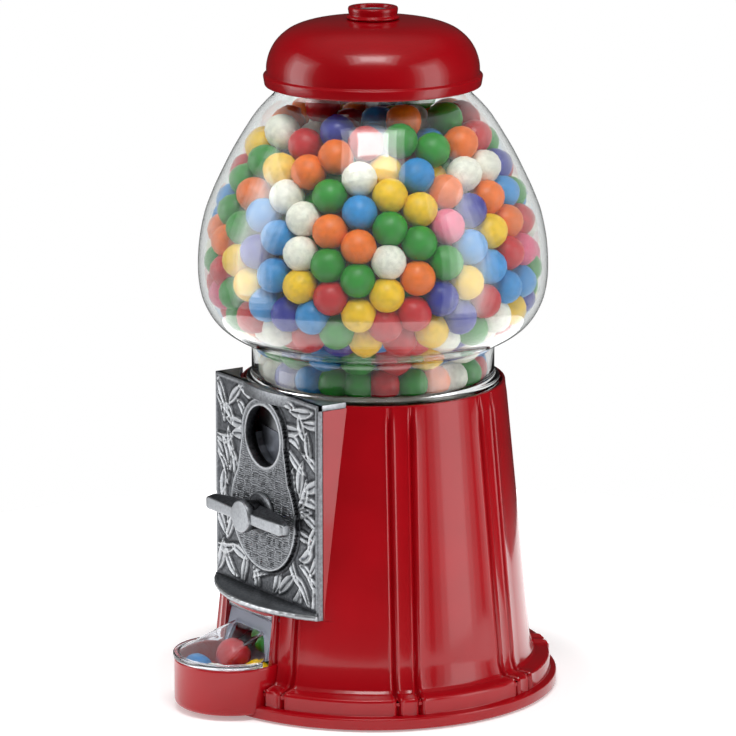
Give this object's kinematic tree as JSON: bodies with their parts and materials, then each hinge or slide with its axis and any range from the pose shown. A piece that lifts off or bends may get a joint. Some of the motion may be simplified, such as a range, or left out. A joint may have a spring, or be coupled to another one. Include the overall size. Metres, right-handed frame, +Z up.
{
  "type": "gumball machine",
  "caption": "Coin-operated tabletop gumball machine: cast base, coin plate with turning handle, glass globe, lifting lid and flap over the cup.",
  "frame": {"origin": "the point of the table under the machine's centre rod, at the height of the feet's undersides", "axes": "+Z up along the centre rod; -Y towards the front, where the coin plate, handle and cup are; +X to the right of a person who stands in front and looks at the machine"},
  "size_m": [0.1516, 0.1682, 0.28],
  "materials": {
    "red_enamel": "gloss",
    "pewter": "satin",
    "globe_glass": "gloss",
    "clear_plastic": "gloss",
    "rubber": "matte",
    "black_steel": "satin",
    "zinc_steel": "satin",
    "acetal": "satin",
    "candy": "satin"
  },
  "bodies": {
    "base": {"base_housing": "red_enamel", "bottom_plate": "black_steel", "foot_1": "rubber", "foot_2": "rubber", "foot_3": "rubber", "foot_4": "rubber", "bottom_screw_1": "zinc_steel", "bottom_screw_2": "zinc_steel", "bottom_screw_3": "zinc_steel", "bottom_screw_4": "zinc_steel", "rod_nut": "zinc_steel", "centre_rod": "zinc_steel", "hopper_plate": "zinc_steel", "ball_baffle": "zinc_steel", "globe_gasket": "rubber", "globe": "globe_glass", "gumball_load": "candy", "front_plate": "pewter", "shaft_bush": "pewter", "mechanism_plate": "zinc_steel", "pawl_pin": "zinc_steel", "chute_slide": "zinc_steel", "flap_pin": "zinc_steel"},
    "handle": {"handle": "pewter", "spindle": "zinc_steel", "coin_wheel": "zinc_steel", "drive_gear": "acetal", "gear_nut": "zinc_steel"},
    "dispensing_wheel": {"dispensing_wheel": "acetal"},
    "pawl": {"pawl": "zinc_steel"},
    "flap": {"chute_flap": "clear_plastic"},
    "lid": {"lid": "red_enamel", "lid_gasket": "rubber"},
    "knob": {"lid_knob": "red_enamel", "knob_insert": "black_steel"}
  },
  "joints": [
    {"name": "handle_turn", "type": "hinge", "parent": "base", "child": "handle", "pos_m": [0, -0.05, 0.0784], "axis": [0, 1, 0], "continuous": true},
    {"name": "wheel_turn", "type": "hinge", "parent": "base", "child": "dispensing_wheel", "pos_m": [0, 0, 0.115], "axis": [0, 0, 1], "continuous": true},
    {"name": "pawl_rock", "type": "hinge", "parent": "base", "child": "pawl", "pos_m": [0.0264, -0.041, 0.05002], "axis": [0, -1, 0], "range_deg": [0, 12]},
    {"name": "flap_lift", "type": "hinge", "parent": "base", "child": "flap", "pos_m": [0, -0.0575, 0.0387], "axis": [-1, 0, 0], "range_deg": [0, 65]},
    {"name": "lid_lift", "type": "slide", "parent": "base", "child": "lid", "axis": [0, 0, 1], "range_m": [0, 0.045]},
    {"name": "knob_turn", "type": "hinge", "parent": "lid", "child": "knob", "pos_m": [0, 0, 0.277], "axis": [0, 0, 1], "continuous": true}
  ],
  "couplings": [
    {"joint": "wheel_turn", "follows": "handle_turn", "ratio": 0.88889}
  ]
}
